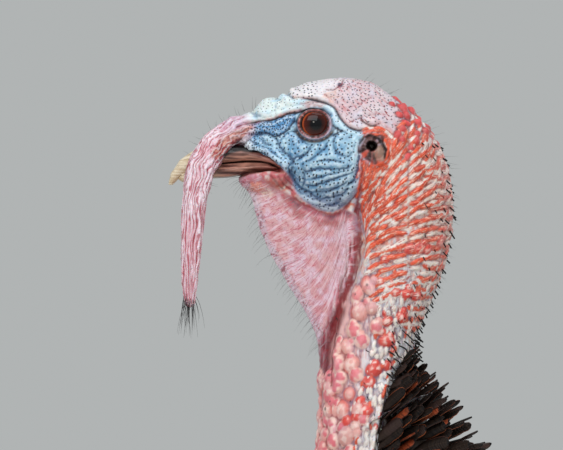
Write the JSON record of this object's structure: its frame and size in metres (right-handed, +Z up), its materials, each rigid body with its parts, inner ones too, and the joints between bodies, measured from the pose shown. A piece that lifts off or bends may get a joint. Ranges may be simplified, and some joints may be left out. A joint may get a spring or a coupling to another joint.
{
  "type": "wild turkey",
  "caption": "Life-size adult male wild turkey, standing at rest with its neck drawn up, its snood hanging over the bill, its wings folded and its tail closed.",
  "frame": {"origin": "on the floor, under the middle of the bird's box", "axes": "+Z up, the bird faces -X, its left side is -Y"},
  "size_m": [0.9432, 0.3478, 0.8809],
  "materials": {
    "skin_blue": "damp matt skin",
    "skin_red": "damp matt skin",
    "wattle": "damp matt skin",
    "horn": "satin horn",
    "eye": "wet gloss",
    "plumage": "bronze feather with a metallic sheen",
    "flight": "barred feather",
    "tail": "barred feather",
    "bristle": "coarse bristle",
    "shank": "horny scales",
    "claw": "satin horn"
  },
  "bodies": {
    "root": {"head": "skin_blue", "neck_upper": "skin_red", "neck_lower": "skin_red", "neck_base": "plumage", "trunk": "plumage", "bill_upper": "horn", "bill_lower": "horn", "snood": "wattle", "dewlap": "wattle", "beard": "bristle", "tail": "tail", "tail_coverts_upper": "plumage", "tail_coverts_under": "plumage", "eye_left": "eye", "ear_left": "skin_blue", "wing_left": "plumage", "primaries_left": "flight", "thigh_left": "plumage", "shank_left": "shank", "spur_left": "claw", "toe_left_inner": "shank", "claw_left_inner": "claw", "toe_left_middle": "shank", "claw_left_middle": "claw", "toe_left_outer": "shank", "claw_left_outer": "claw", "toe_left_hind": "shank", "claw_left_hind": "claw", "eye_right": "eye", "ear_right": "skin_blue", "wing_right": "plumage", "primaries_right": "flight", "thigh_right": "plumage", "shank_right": "shank", "spur_right": "claw", "toe_right_inner": "shank", "claw_right_inner": "claw", "toe_right_middle": "shank", "claw_right_middle": "claw", "toe_right_outer": "shank", "claw_right_outer": "claw", "toe_right_hind": "shank", "claw_right_hind": "claw"}
  },
  "joints": []
}
